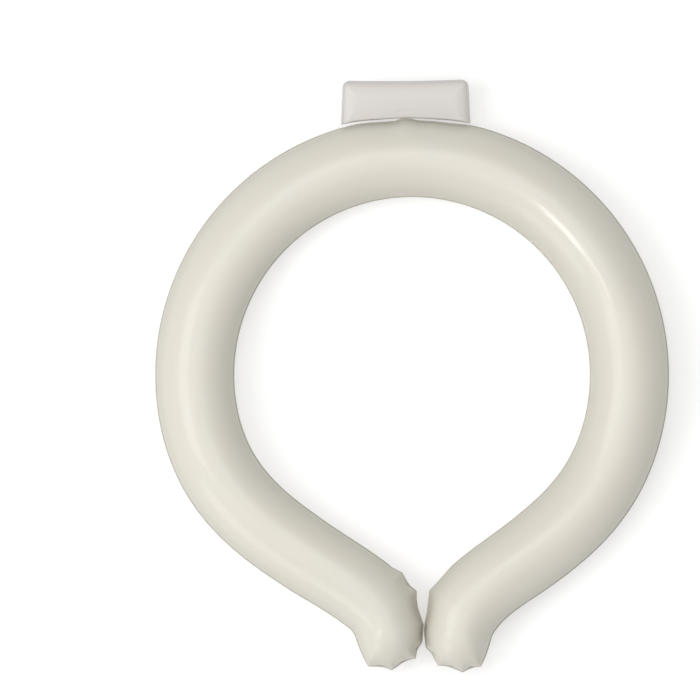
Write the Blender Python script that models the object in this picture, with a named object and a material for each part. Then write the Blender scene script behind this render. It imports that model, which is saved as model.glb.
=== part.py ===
"""Neck cooler: a soft open ring of film filled with a phase-change wax, worn round the neck.

Two formed films meet at mid height in a narrow weld rim. The ring lies on its lower film, its two
puckered ends meet at the front, and a small flat tab stands out at the nape.
Lengths are in metres, +Z is up, and +Y points from the ends to the tab.
"""

from collections import namedtuple
from math import acos, cos, pi, radians, sin, sqrt, tan

import bmesh
import bpy
import numpy as np
from mathutils import Matrix, Vector
from mathutils.geometry import interpolate_bezier

# Ring and tube
NECK_RADIUS = 0.0557
TUBE_HALF_WIDTH = 0.01205
TUBE_HALF_HEIGHT = 0.0119
CROWN_STRIP = 0.0044
REST_STRIP = 0.0072

# Films, weld rim and filling
FILM_THICKNESS = 0.0006
RIM_PROUD = 0.00035
RIM_THICKNESS = 0.0004
WELD_GAP = 0.0003
FILL_GAP = 0.0003
TOE_GAP = 0.0003

# Nape tab
TAB_WIDTH = 0.0405
TAB_HEIGHT = 0.0113
TAB_CORNER = 0.0023
TAB_TOP_DIP = 0.0003
TAB_FLARE_DEG = 3.4
TAB_PLACE_DEG = 1.0
TAB_LEAN_DEG = 0.8
TAB_SLIT = 0.0006
TAB_RIM_WIDTH = 0.0005
TAB_RIM_HALF_THICKNESS = 0.00045
TAB_SHOULDER = 0.0011
TAB_HALF_THICKNESS = 0.0012
NECK_WIDTH = 0.0044
NECK_GAP = 0.0003

# Facets
RING_STEP_DEG = 7.5
LEG_STEP = 0.0072
LATITUDE_COUNT = 5
FILL_LATITUDE_COUNT = 3
CURVE_SAMPLES = 240
TAB_EDGE_COUNT = 6
TAB_CORNER_COUNT = 4
TAB_TOP_COUNT = 8

# Worked out from the sizes above
TUBE_REACH = TUBE_HALF_WIDTH + RIM_PROUD
RING_RADIUS = NECK_RADIUS + TUBE_REACH
RING_OUTER_RADIUS = RING_RADIUS + TUBE_REACH
TOE_FADE_POWER = 1.5

# Where each leg leaves the ring, measured from the tab, and where its toe is centred.
# Pulls and drop are shares of the ring radius, the reach is a share of the tube's reach.
Leg = namedtuple("Leg", "name hand leave_deg start_pull end_pull heading_deg toe_reach toe_drop")
RIGHT_LEG = Leg("right", 1, 111.2, 0.546, 0.326, 104.0, 0.917, 1.1836)
LEFT_LEG = Leg("left", -1, 97.5, 0.652, 0.344, 104.0, 0.917, 1.1600)

# The tube's plain outline along a leg and round its toe. A place below zero is the distance before
# the toe's centre in tube reaches, one from 0 to 1 is the turn round it in half turns, which starts
# at the side that meets the other toe. Reaches are shares of the tube's reach.
Width = namedtuple("Width", "place reach")
OUTER_WIDTHS = (
    Width(-6.0, 1.000),
    Width(-3.4, 0.982),
    Width(-2.6, 0.985),
    Width(-2.0, 0.968),
    Width(-1.5, 0.945),
    Width(-1.0, 0.920),
    Width(-0.5, 0.884),
    Width(0.0, 0.830),
)
INNER_WIDTHS = (
    Width(-6.0, 1.000),
    Width(-4.4, 0.997),
    Width(-3.2, 0.978),
    Width(-2.6, 0.955),
    Width(-2.0, 0.948),
    Width(-1.5, 0.960),
    Width(-1.0, 0.990),
    Width(-0.5, 1.000),
    Width(0.0, 0.920),
    Width(0.25, 0.940),
    Width(0.50, 0.985),
    Width(0.72, 0.985),
    Width(0.87, 0.880),
    Width(1.0, 0.830),
)

# The puckered rim of each toe, in the same places and shares.
RIGHT_RIM = (
    Width(-1.0, 0.990),
    Width(-0.76, 1.005),
    Width(-0.525, 1.078),
    Width(-0.36, 0.985),
    Width(-0.2, 0.920),
    Width(0.0, 0.900),
    Width(0.065, 0.884),
    Width(0.13, 0.888),
    Width(0.215, 0.960),
    Width(0.275, 0.922),
    Width(0.345, 0.982),
    Width(0.392, 1.045),
    Width(0.43, 0.982),
    Width(0.47, 0.962),
    Width(0.53, 0.988),
    Width(0.587, 1.068),
    Width(0.63, 1.015),
    Width(0.68, 1.002),
    Width(0.733, 1.065),
    Width(0.79, 0.965),
    Width(0.87, 0.875),
    Width(0.94, 0.834),
    Width(1.0, 0.830),
)
LEFT_RIM = (
    Width(-1.0, 0.995),
    Width(-0.8, 1.090),
    Width(-0.57, 1.038),
    Width(-0.415, 1.080),
    Width(-0.265, 0.985),
    Width(-0.11, 0.935),
    Width(0.0, 0.937),
    Width(0.055, 0.962),
    Width(0.11, 0.925),
    Width(0.21, 0.984),
    Width(0.267, 0.960),
    Width(0.345, 1.048),
    Width(0.39, 0.988),
    Width(0.436, 0.970),
    Width(0.49, 0.998),
    Width(0.545, 1.072),
    Width(0.59, 1.000),
    Width(0.635, 0.982),
    Width(0.68, 1.006),
    Width(0.728, 1.065),
    Width(0.79, 0.960),
    Width(0.87, 0.876),
    Width(0.94, 0.834),
    Width(1.0, 0.830),
)

# Finish of each sub-part
Finish = namedtuple("Finish", "colour roughness")
FILM_FINISH = Finish((0.76, 0.74, 0.66), 0.38)
TAB_FINISH = Finish((0.71, 0.67, 0.63), 0.42)
FILL_FINISH = Finish((0.83, 0.82, 0.78), 0.60)

# A place on the tube's middle line, with the way across it and its four outline shares
Station = namedtuple("Station", "point across inner_rim inner_plain outer")


def share_at(rows, place):
    """Reach share at a place, read between the rows of a table."""
    return float(np.interp(place, [row.place for row in rows], [row.reach for row in rows]))


def leg_curve(leg):
    """Middle line of a leg as drawn on the right side, from the ring to the toe's centre."""
    leave = radians(leg.leave_deg)
    heading = radians(leg.heading_deg)
    start = Vector((sin(leave), cos(leave))) * RING_RADIUS
    start_way = Vector((cos(leave), -sin(leave)))
    end = Vector((leg.toe_reach * TUBE_REACH + TOE_GAP / 2, -leg.toe_drop * RING_RADIUS))
    end_way = Vector((cos(heading), -sin(heading)))
    start_handle = start + start_way * (leg.start_pull * RING_RADIUS)
    end_handle = end - end_way * (leg.end_pull * RING_RADIUS)
    return interpolate_bezier(start, start_handle, end_handle, end, CURVE_SAMPLES)


def leg_places(rim, length):
    """Places of a leg's stations: even steps down to the rim's first row, then the rows."""
    plain_length = length + rim[0].place * TUBE_REACH
    count = max(2, round(plain_length / LEG_STEP))
    even = [(plain_length * step / count - length) / TUBE_REACH for step in range(count)]
    return even + [row.place for row in rim if row.place <= 0]


def leg_stations(leg, rim):
    """Stations of one leg, from the ring to the toe's centre."""
    curve = leg_curve(leg)
    travelled = [0.0]
    for before, after in zip(curve, curve[1:]):
        travelled.append(travelled[-1] + (after - before).length)
    length = travelled[-1]
    stations = []
    for place in leg_places(rim, length):
        along = length + place * TUBE_REACH
        point = Vector((np.interp(along, travelled, [p.x for p in curve]),
                        np.interp(along, travelled, [p.y for p in curve])))
        near = min(max(int(np.searchsorted(travelled, along)), 1), CURVE_SAMPLES - 1)
        way = (curve[near] - curve[near - 1]).normalized()
        inner_plain = share_at(INNER_WIDTHS, place)
        inner_rim = share_at(rim, place) if place >= rim[0].place else inner_plain
        stations.append(Station(Vector((point.x * leg.hand, point.y)),
                                Vector((-way.y * leg.hand, way.x)),
                                inner_rim, inner_plain, share_at(OUTER_WIDTHS, place)))
    return stations


def ring_stations():
    """Stations along the round part of the ring, from the left leg to the right one."""
    sweep = LEFT_LEG.leave_deg + RIGHT_LEG.leave_deg
    count = round(sweep / RING_STEP_DEG)
    stations = []
    for step in range(1, count):
        angle = radians(sweep * step / count - LEFT_LEG.leave_deg)
        outward = Vector((sin(angle), cos(angle)))
        stations.append(Station(outward * RING_RADIUS, outward, 1.0, 1.0, 1.0))
    return stations


def toe_spokes(leg, rim, centre):
    """Spokes round a toe, from its meeting side to its outer side: way, rim and plain shares."""
    heading = radians(leg.heading_deg)
    spokes = []
    for row in rim:
        if 0 < row.place < 1:
            angle = -heading - pi / 2 + row.place * pi
            way = Vector((cos(angle) * leg.hand, sin(angle)))
            spokes.append((centre, way, row.reach, share_at(INNER_WIDTHS, row.place)))
    return spokes


def tube_outline():
    """The outline's points in order, each as origin, way outward, rim share and plain share.

    They run along the outer side from the left toe to the right one, round the right toe,
    back along the inner side and round the left toe.
    """
    left = leg_stations(LEFT_LEG, LEFT_RIM)
    right = leg_stations(RIGHT_LEG, RIGHT_RIM)
    stations = left[::-1] + ring_stations() + right
    outer = [(s.point, s.across, s.outer, s.outer) for s in stations]
    inner = [(s.point, -s.across, s.inner_rim, s.inner_plain) for s in reversed(stations)]
    right_toe = toe_spokes(RIGHT_LEG, RIGHT_RIM, right[-1].point)[::-1]
    left_toe = toe_spokes(LEFT_LEG, LEFT_RIM, left[-1].point)
    return outer + right_toe + inner + left_toe, len(stations), len(right_toe)


def latitudes(strip, count):
    """Even steps up the tube's section, from the weld to the edge of a flat strip."""
    top = acos(strip / 2 / TUBE_HALF_WIDTH)
    return [top * step / (count - 1) for step in range(count)]


def rim_loop(bm, outline, height):
    """Loop of points along the edge of the weld rim."""
    return [bm.verts.new((*(point + way * rim * TUBE_REACH), height))
            for point, way, rim, plain in outline]


def section_loop(bm, outline, inset, latitude, height):
    """Loop of points on the tube's wall, at one latitude of its section."""
    fade = cos(latitude) ** TOE_FADE_POWER
    loop = []
    for point, way, rim, plain in outline:
        share = plain + (rim - plain) * fade
        reach = (share * TUBE_REACH - RIM_PROUD - inset) * cos(latitude)
        loop.append(bm.verts.new((*(point + way * reach), height)))
    return loop


def bridge(bm, first, second):
    """Band of faces between two loops of as many points."""
    for index in range(len(first)):
        bm.faces.new((first[index - 1], first[index], second[index], second[index - 1]))


def close_strip(bm, loop, station_count, right_count):
    """Flat strip that closes a loop: a face between each two stations and one over each toe."""
    inner_start = station_count + right_count
    outer = loop[:station_count]
    inner = loop[inner_start:inner_start + station_count][::-1]
    for index in range(1, station_count):
        bm.faces.new((outer[index - 1], outer[index], inner[index], inner[index - 1]))
    bm.faces.new(loop[station_count - 1:inner_start + 1])
    bm.faces.new(loop[inner_start + station_count - 1:] + [loop[0]])


def finish_object(bm, name, finish, sharp_deg=40):
    """Object made from a mesh, with its faces turned outward and its own material."""
    bmesh.ops.recalc_face_normals(bm, faces=bm.faces)
    mesh = bpy.data.meshes.new(name)
    bm.to_mesh(mesh)
    bm.free()
    mesh.shade_smooth()
    mesh.set_sharp_from_angle(angle=radians(sharp_deg))
    material = bpy.data.materials.new(name)
    material.use_nodes = True
    shader = material.node_tree.nodes["Principled BSDF"]
    shader.inputs["Base Color"].default_value = (*finish.colour, 1.0)
    shader.inputs["Roughness"].default_value = finish.roughness
    shader.inputs["Metallic"].default_value = 0.0
    mesh.materials.append(material)
    piece = bpy.data.objects.new(name, mesh)
    bpy.context.scene.collection.objects.link(piece)
    return piece


def make_film(name, side, strip):
    """One formed film: side is 1 for the upper one, -1 for the lower one."""
    outline, station_count, right_count = tube_outline()
    bm = bmesh.new()
    weld = WELD_GAP / 2
    steps = latitudes(strip, LATITUDE_COUNT)
    outside = [rim_loop(bm, outline, side * weld),
               rim_loop(bm, outline, side * (weld + RIM_THICKNESS)),
               section_loop(bm, outline, 0.0, 0.0, side * (weld + RIM_THICKNESS))]
    outside += [section_loop(bm, outline, 0.0, step, side * (weld + TUBE_HALF_HEIGHT * sin(step)))
                for step in steps[1:]]
    inner_height = TUBE_HALF_HEIGHT - FILM_THICKNESS
    inside = [section_loop(bm, outline, FILM_THICKNESS, step, side * (weld + inner_height * sin(step)))
              for step in steps]
    for skin in (outside, inside):
        for first, second in zip(skin, skin[1:]):
            bridge(bm, first, second)
        close_strip(bm, skin[-1], station_count, right_count)
    bridge(bm, outside[0], inside[0])
    return finish_object(bm, name, FILM_FINISH)


def make_fill():
    """The wax that fills the tube, clear of both films."""
    outline, station_count, right_count = tube_outline()
    bm = bmesh.new()
    inset = FILM_THICKNESS + FILL_GAP
    height = TUBE_HALF_HEIGHT - inset
    below = [section_loop(bm, outline, inset, step, -WELD_GAP / 2 - height * sin(step))
             for step in latitudes(REST_STRIP, FILL_LATITUDE_COUNT)[:0:-1]]
    above = [section_loop(bm, outline, inset, step, WELD_GAP / 2 + height * sin(step))
             for step in latitudes(CROWN_STRIP, FILL_LATITUDE_COUNT)[1:]]
    loops = below + [section_loop(bm, outline, inset, 0.0, 0.0)] + above
    for first, second in zip(loops, loops[1:]):
        bridge(bm, first, second)
    close_strip(bm, loops[0], station_count, right_count)
    close_strip(bm, loops[-1], station_count, right_count)
    return finish_object(bm, "cooling_fill", FILL_FINISH)


def tab_outline(inset, neck):
    """Tab's outline drawn upright above the ring's centre, moved inward by inset.

    With neck set, the middle of its lower edge runs down to the ring as the filling neck.
    """
    lower_radius = RING_OUTER_RADIUS + TAB_SLIT + inset
    top = RING_OUTER_RADIUS + TAB_SLIT + TAB_HEIGHT - inset
    half_bottom = TAB_WIDTH / 2 - inset
    low = sqrt(lower_radius ** 2 - half_bottom ** 2)
    half_top = half_bottom - (top - low) * tan(radians(TAB_FLARE_DEG))
    corner = TAB_CORNER - inset
    half_neck = NECK_WIDTH / 2
    right = []
    root = RING_OUTER_RADIUS + NECK_GAP if neck else lower_radius
    right.append((half_neck, sqrt(root ** 2 - half_neck ** 2)))
    for step in range(TAB_EDGE_COUNT + 1):
        along = half_neck + (half_bottom - half_neck) * step / TAB_EDGE_COUNT
        if step == 0 and not neck:
            along = half_neck * 1.25
        right.append((along, sqrt(lower_radius ** 2 - along ** 2)))
    for step in range(TAB_CORNER_COUNT + 1):
        turn = pi / 2 * step / TAB_CORNER_COUNT
        right.append((half_top - corner + corner * cos(turn), top - corner + corner * sin(turn)))
    half_flat = half_top - corner
    for step in range(1, TAB_TOP_COUNT // 2 + 1):
        along = half_flat * (1 - 2 * step / TAB_TOP_COUNT)
        right.append((along, top - TAB_TOP_DIP * (1 - (along / half_flat) ** 2)))
    left = [(-x, y) for x, y in right[-2::-1]]
    return right + left


def make_tab():
    """Flat welded tab at the nape, a thin rim round a slightly thicker field."""
    layers = ((TAB_RIM_WIDTH + TAB_SHOULDER, TAB_HALF_THICKNESS, False),
              (TAB_RIM_WIDTH + TAB_SHOULDER * 0.4, TAB_HALF_THICKNESS * 0.82, False),
              (TAB_RIM_WIDTH, TAB_RIM_HALF_THICKNESS, False),
              (0.0, TAB_RIM_HALF_THICKNESS, True))
    bm = bmesh.new()
    upper = [[bm.verts.new((x, y, height)) for x, y in tab_outline(inset, neck)]
             for inset, height, neck in layers]
    lower = [[bm.verts.new((x, y, -height)) for x, y in tab_outline(inset, neck)]
             for inset, height, neck in reversed(layers)]
    loops = upper + lower
    for first, second in zip(loops, loops[1:]):
        bridge(bm, first, second)
    bm.faces.new(loops[0])
    bm.faces.new(loops[-1])
    piece = finish_object(bm, "nape_tab", TAB_FINISH)
    root = Matrix.Translation((0.0, RING_OUTER_RADIUS, 0.0))
    lean = root @ Matrix.Rotation(-radians(TAB_LEAN_DEG), 4, "Z") @ root.inverted()
    piece.matrix_basis = Matrix.Rotation(-radians(TAB_PLACE_DEG), 4, "Z") @ lean
    return piece


def stand_on_floor(pieces):
    """Parents the pieces to an empty that puts the origin under the middle of their box."""
    corners = [piece.matrix_basis @ vertex.co for piece in pieces for vertex in piece.data.vertices]
    low = [min(corner[axis] for corner in corners) for axis in range(3)]
    high = [max(corner[axis] for corner in corners) for axis in range(3)]
    holder = bpy.data.objects.new("neck_cooler", None)
    holder.location = (-(low[0] + high[0]) / 2, -(low[1] + high[1]) / 2, -low[2])
    bpy.context.scene.collection.objects.link(holder)
    for piece in pieces:
        piece.parent = holder


def main():
    for old in list(bpy.data.objects):
        bpy.data.objects.remove(old, do_unlink=True)
    pieces = [make_film("upper_film", 1, CROWN_STRIP),
              make_film("lower_film", -1, REST_STRIP),
              make_fill(),
              make_tab()]
    stand_on_floor(pieces)


main()
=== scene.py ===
"""Neck cooler: a soft open ring of film, filled with cooling wax, with a small welded tab at the nape.

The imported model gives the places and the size. This file dresses it with fine formed films and
their weld rim and puckered toes, the wax inside them, the pressed tab, a pale floor, soft studio
light and a camera straight above. Lengths are in metres, +Z is up, and +Y points from the toes
to the tab.
"""

from collections import namedtuple
from math import cos, pi, radians, sin, sqrt, tan

import bmesh
import bpy
import numpy as np
from bpy.props import FloatProperty, FloatVectorProperty, PointerProperty
from mathutils import Matrix, Vector
from mathutils.geometry import interpolate_bezier


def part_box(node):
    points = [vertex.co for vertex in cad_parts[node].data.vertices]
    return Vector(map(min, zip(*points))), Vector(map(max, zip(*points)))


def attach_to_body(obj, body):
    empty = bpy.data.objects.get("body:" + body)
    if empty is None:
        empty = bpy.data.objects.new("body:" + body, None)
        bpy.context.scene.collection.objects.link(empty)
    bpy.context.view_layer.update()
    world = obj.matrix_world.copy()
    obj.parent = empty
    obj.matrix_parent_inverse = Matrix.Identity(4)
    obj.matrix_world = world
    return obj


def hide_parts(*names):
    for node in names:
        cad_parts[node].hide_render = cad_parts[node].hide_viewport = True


bl_info = {
    "name": "Neck Cooler",
    "version": (1, 0, 0),
    "blender": (4, 5, 0),
    "location": "3D View > Sidebar > Neck Cooler",
    "description": "Dresses the wax-filled ring, its welded tab and a plain studio round them",
    "category": "Object",
}

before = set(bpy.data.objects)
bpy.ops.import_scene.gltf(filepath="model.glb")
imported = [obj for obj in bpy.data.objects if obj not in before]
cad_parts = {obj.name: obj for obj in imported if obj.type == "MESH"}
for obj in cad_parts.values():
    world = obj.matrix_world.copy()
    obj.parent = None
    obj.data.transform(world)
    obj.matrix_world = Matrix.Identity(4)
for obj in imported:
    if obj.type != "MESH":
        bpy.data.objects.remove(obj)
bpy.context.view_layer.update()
BODY = "root"

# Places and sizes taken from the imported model
UPPER_LOW, UPPER_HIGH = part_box("upper_film")
LOWER_LOW, LOWER_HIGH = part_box("lower_film")
TAB_LOW, TAB_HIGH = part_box("nape_tab")
RING_OUTER_RADIUS = (UPPER_HIGH.x - UPPER_LOW.x) / 2
RING_CENTRE = np.array([(UPPER_HIGH.x + UPPER_LOW.x) / 2, UPPER_HIGH.y - RING_OUTER_RADIUS])
WELD_Z = (UPPER_LOW.z + LOWER_HIGH.z) / 2
TUBE_HALF_HEIGHT = UPPER_HIGH.z - WELD_Z
FLOOR_Z = LOWER_LOW.z

# The tube: its reach is half its width with the weld rim
TUBE_REACH = 0.0124
RING_RADIUS = RING_OUTER_RADIUS - TUBE_REACH
TOE_GAP = 0.0003
PARTING_GAP = 0.00002
WALL_GAP = 0.0003

# Under the tab the ring is drawn in a little, but for the neck that it was filled through. Places
# are measured along the ring from the tab's middle
TAB_PLACE_DEG = 1.0
NAPE_DIP = 0.00072
NAPE_DIP_MIDDLE = 0.0035
NAPE_DIP_REACH = (0.009, 0.020)
NECK_REACH = (0.0016, 0.0032)
NECK_CLEARANCE = 0.00007

# Where each leg leaves the ring, measured from the tab, and where its toe is centred.
# Pulls and drop are shares of the ring radius, the reach is a share of the tube's reach.
Leg = namedtuple("Leg", "hand leave_deg start_pull end_pull heading_deg toe_reach toe_drop")
RIGHT_LEG = Leg(1, 111.2, 0.546, 0.326, 104.0, 0.917, 1.1836)
LEFT_LEG = Leg(-1, 97.5, 0.652, 0.344, 104.0, 0.917, 1.1600)

# The tube's plain outline along a leg and round its toe. A place below zero is the distance before
# the toe's centre in tube reaches, one from 0 to 1 is the turn round it in half turns, which starts
# at the side that meets the other toe. Reaches are shares of the tube's reach. Film gathers into a
# point where a row has a peak.
Width = namedtuple("Width", "place reach peak", defaults=(False,))


def widths(*rows):
    """A table of widths, in the order of their places."""
    return [Width(*row) for row in rows]


OUTER_WIDTHS = widths(
    (-6.0, 1.000), (-3.4, 0.982), (-2.6, 0.985), (-2.0, 0.968), (-1.5, 0.945), (-1.0, 0.920),
    (-0.5, 0.884), (0.0, 0.830))
INNER_WIDTHS = widths(
    (-6.0, 1.000), (-4.4, 0.997), (-3.2, 0.978), (-2.6, 0.955), (-2.0, 0.948), (-1.5, 0.960),
    (-1.0, 0.990), (-0.5, 1.000), (0.0, 0.920), (0.25, 0.940), (0.50, 0.985), (0.72, 0.985),
    (0.87, 0.880), (1.0, 0.830))
# How much narrower the left leg is on its outer side, along it and then back round its toe
LEFT_TUCK = widths((-1.4, 0.0), (-0.9, 0.018), (-0.4, 0.050), (0.0, 0.028))
LEFT_TOE_TUCK = widths((0.72, 0.0), (0.87, 0.022), (1.0, 0.028))
# The weld rim's edge round each toe
RIGHT_RIM = widths(
    (-1.0, 0.990), (-0.76, 1.005), (-0.525, 1.078, True), (-0.36, 0.985), (-0.2, 0.920),
    (0.0, 0.904), (0.065, 0.904), (0.13, 0.905), (0.215, 0.960, True), (0.275, 0.922),
    (0.345, 0.982), (0.392, 1.045, True), (0.43, 0.982), (0.47, 0.962), (0.53, 0.988),
    (0.587, 1.068, True), (0.63, 1.015), (0.68, 1.002), (0.733, 1.065, True), (0.79, 0.965),
    (0.87, 0.875), (0.94, 0.834), (1.0, 0.830))
LEFT_RIM = widths(
    (-1.0, 0.995), (-0.8, 1.090, True), (-0.57, 1.038), (-0.415, 1.108, True), (-0.265, 0.985),
    (-0.11, 0.935), (0.0, 0.937), (0.055, 0.962, True), (0.11, 0.945), (0.21, 0.984, True),
    (0.267, 0.960), (0.345, 1.072, True), (0.39, 0.988), (0.436, 0.970), (0.49, 0.998),
    (0.545, 1.072, True), (0.59, 1.000), (0.635, 0.982), (0.68, 1.006), (0.728, 1.065, True),
    (0.79, 0.960), (0.87, 0.876), (0.94, 0.834), (1.0, 0.830))
RIMS = ((RIGHT_RIM, 1), (LEFT_RIM, -1))

# Between these two places the rim's tables take over from the inner widths. The ring and the outer
# side have a place far before them
RIM_TAKEOVER = (-1.3, -0.9)
FAR_PLACE = -99.0

# How the gathers run up the toes: lengths along the rim, and latitudes up the tube's section
PEAK_PULL = 1.35
TOE_FADE_POWER = 6.5
TOE_BLUNTNESS = 0.3
PUCKER_WIDTH = 0.0008
RIDGE_WIDTH = 0.0010
PUCKER_DRIFT = 0.0016
PUCKER_LATITUDES = (radians(3), radians(38))
RUFFLE_WIDTH = 0.0019
RUFFLE_FADE_POWER = 5
WANDER_LATITUDES = (radians(12), radians(40))
REST_SOFTNESS = 0.00012

# Slow unevenness of the filled tube: way, wavelength and start of each wave, and its share
Wave = namedtuple("Wave", "turn_deg length start share")
WANDER_WAVES = (Wave(17, 0.031, 0.4, 0.40), Wave(71, 0.023, 2.1, 0.28),
                Wave(122, 0.018, 4.4, 0.20), Wave(160, 0.041, 1.3, 0.45))

# Fineness of the meshes
RING_STEP = 0.0015
LEG_STEP = 0.0012
TOE_STEP = 0.00036
TOE_STRETCH = 0.0135
CURVE_SAMPLES = 900
WALL_START_DEG = 2.4
WALL_TOP_DEG = 88.6
WALL_STEPS = 32
LINING_STEPS = 8
WAX_STEPS = 12
WAX_COARSENESS = 2.5

# The weld rim's profile from the parting upward: how far in from its edge, as a share of how far
# the rim stands proud, and its height as a share of the rim's half thickness
RIM_PROFILE = ((0.20, 0.0), (0.0, 0.26), (0.0, 0.62), (0.20, 0.88), (0.55, 1.0), (0.85, 1.03))

# The tab, leaned about its root. Its lower edge lies lower in the middle than an even slit leaves
# it, its shoulder starts steeper than it goes on, and its field's loops end a part of a step
# before its spine
TAB_LEAN_DEG = 0.9
TAB_FLARE_DEG = 2.1
TAB_EDGE_FLAT = 0.00065
TAB_EDGE_LEVEL = 0.3
LOWER_EDGE_SHARE = 0.08
TAB_TOP_DIP = 0.0003
TAB_HEIGHT = 0.0113
TAB_HALF_THICKNESS = (TAB_HIGH.z - TAB_LOW.z) / 2
TAB_EDGE_STEP = 0.0003
TAB_SMALLEST_CORNER = 0.0004
TAB_CORNER_STEPS = 12
TAB_SHOULDER_STEPS = 10
SHOULDER_STEEPNESS = 1.5
TAB_FIELD_STEPS = 14
TAB_SPINE_INSET = 0.0057
TAB_LAST_STEP = 0.4
SEAL_WIDTH = 0.0065
SEAL_END = 0.0006
SEAL_HALF_HEIGHT = 0.00035
SEAL_ABOVE_EDGE = 0.0015
LINE_INSET = 0.0026
LINE_HALF_WIDTH = 0.0003
LINE_SHARE = 0.15

# The profile of the tab's rim from its middle height upward: how far in from its edge, as a share
# of the rim's width, and its height as a share of the rim's half thickness
TAB_RIM_PROFILE = ((0.20, 0.0), (0.0, 0.35), (0.04, 0.7), (0.24, 0.95), (0.52, 1.0), (1.0, 1.01))


def length(name, description, default, low, high):
    """A length in metres that a user may change."""
    return FloatProperty(name=name, description=description, default=default, min=low, max=high,
                         precision=5, subtype="DISTANCE", unit="LENGTH")


def tone(name, description, default):
    """A colour that a user may change."""
    return FloatVectorProperty(name=name, description=description, default=default, size=3,
                               min=0.0, max=1.0, subtype="COLOR")


def power(name, description, default):
    """A light's power in watts that a user may change."""
    return FloatProperty(name=name, description=description, default=default, min=0.0, max=500.0,
                         precision=4, unit="POWER")


class FilmSettings(bpy.types.PropertyGroup):
    """Sizes and looks of the two formed films."""

    thickness: length("Film thickness", "Thickness of each film", 0.0006, 0.0002, 0.0008)
    rim_proud: length("Rim width", "How far the weld rim stands out of the tube",
                      0.00035, 0.0001, 0.001)
    rim_half: length(
        "Rim half thickness", "Height of each film's half of the weld rim", 0.00052, 0.0002, 0.001)
    pucker_depth: length(
        "Pucker depth", "Depth of the creases between the gathers at the toes", 0.00022, 0.0, 0.0006)
    ridge_height: length("Ridge height", "Height of the gathers at the toes", 0.00012, 0.0, 0.0006)
    ruffle: length(
        "Weld ruffle", "How far the weld rises and falls at the gathers", 0.00025, 0.0, 0.0008)
    wander: length("Unevenness", "Slow swelling of the tube over the wax", 0.00006, 0.0, 0.0004)
    colour: tone("Film colour", "Main colour of the film", (0.628, 0.605, 0.534))
    warm_colour: tone(
        "Film second colour", "Colour that the film drifts to in soft patches", (0.640, 0.608, 0.532))
    # Painted shade: this deeper colour is laid on the tube's sides in a band about the weld's plane
    side_shade_colour: tone(
        "Film side colour", "Deeper colour of the stretched film beside the weld",
        (0.545, 0.522, 0.450))
    # The weld rim's darker colour is partly its own tone and partly painted edge shade
    weld_and_edge_shade_colour: tone("Weld colour", "Colour of the pressed weld rim", (0.45, 0.425, 0.36))


class TabSettings(bpy.types.PropertyGroup):
    """Sizes and looks of the flat tab at the nape."""

    width: length("Tab width", "Width of the tab at its lower edge", 0.0405, 0.03, 0.05)
    corner: length("Corner radius", "Radius of the tab's two upper corners", 0.0023, 0.001, 0.004)
    slit: length("Slit", "Open slit between the ring and the tab", 0.0006, 0.0003, 0.002)
    rim_width: length("Tab rim width", "Width of the thin pressed rim", 0.0005, 0.0002, 0.001)
    rim_half: length(
        "Tab rim half thickness", "Half the thickness of the thin pressed rim",
        0.00045, 0.0002, 0.001)
    shoulder: length(
        "Shoulder width", "Width of the rounded step up to the field", 0.0018, 0.0004, 0.002)
    pillow: length("Pillow", "How far the field swells in its middle", 0.00038, 0.0, 0.0006)
    pressed: length(
        "Pressed depth", "Depth of the pressed seal above the filling neck", 0.00016, 0.0, 0.0004)
    colour: tone("Tab colour", "Main colour of the tab", (0.600, 0.570, 0.538))
    warm_colour: tone(
        "Tab second colour", "Colour that the tab drifts to in soft patches", (0.614, 0.580, 0.546))
    # Painted shade: this deeper colour is laid on the tab's rim and rounded shoulder
    side_shade_colour: tone(
        "Tab shoulder colour", "Deeper colour of the tab's rounded shoulder", (0.575, 0.553, 0.525))
    # The tab rim's darker colour is partly its own tone and partly painted edge shade
    weld_and_edge_shade_colour: tone("Tab rim colour", "Colour of the tab's pressed rim", (0.50, 0.485, 0.47))


class WaxSettings(bpy.types.PropertyGroup):
    """Looks of the wax inside the films."""

    colour: tone("Wax colour", "Main colour of the set wax", (0.83, 0.82, 0.78))
    cloudy_colour: tone("Wax cloud colour", "Colour of the clouds in the wax", (0.74, 0.73, 0.69))


class StageSettings(bpy.types.PropertyGroup):
    """The studio: floor, lights and room."""

    floor_size: length("Floor size", "Side of the square floor", 4.0, 0.5, 20.0)
    floor_colour: tone("Floor colour", "Colour of the light table's sheet", (0.63, 0.63, 0.63))
    floor_glow: FloatProperty(
        name="Floor glow", description="Strength of the light that the table's sheet lets through",
        default=0.42, min=0.0, max=2.0)
    key_power: power("Key light", "Power of the soft light at the left", 7.3)
    side_power: power("Side light", "Power of the low soft light at the lower left", 4.4)
    back_power: power("Back light", "Power of the high soft light behind the tab", 3.6)
    top_power: power("Top light", "Power of the wide light overhead", 8.8)
    strip_power: power("Strip light", "Power of the narrow light that draws the highlight", 0.0074)
    sky: FloatProperty(
        name="Room light", description="Strength of the even light from the white room",
        default=0.41, min=0.0, max=3.0)


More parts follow.
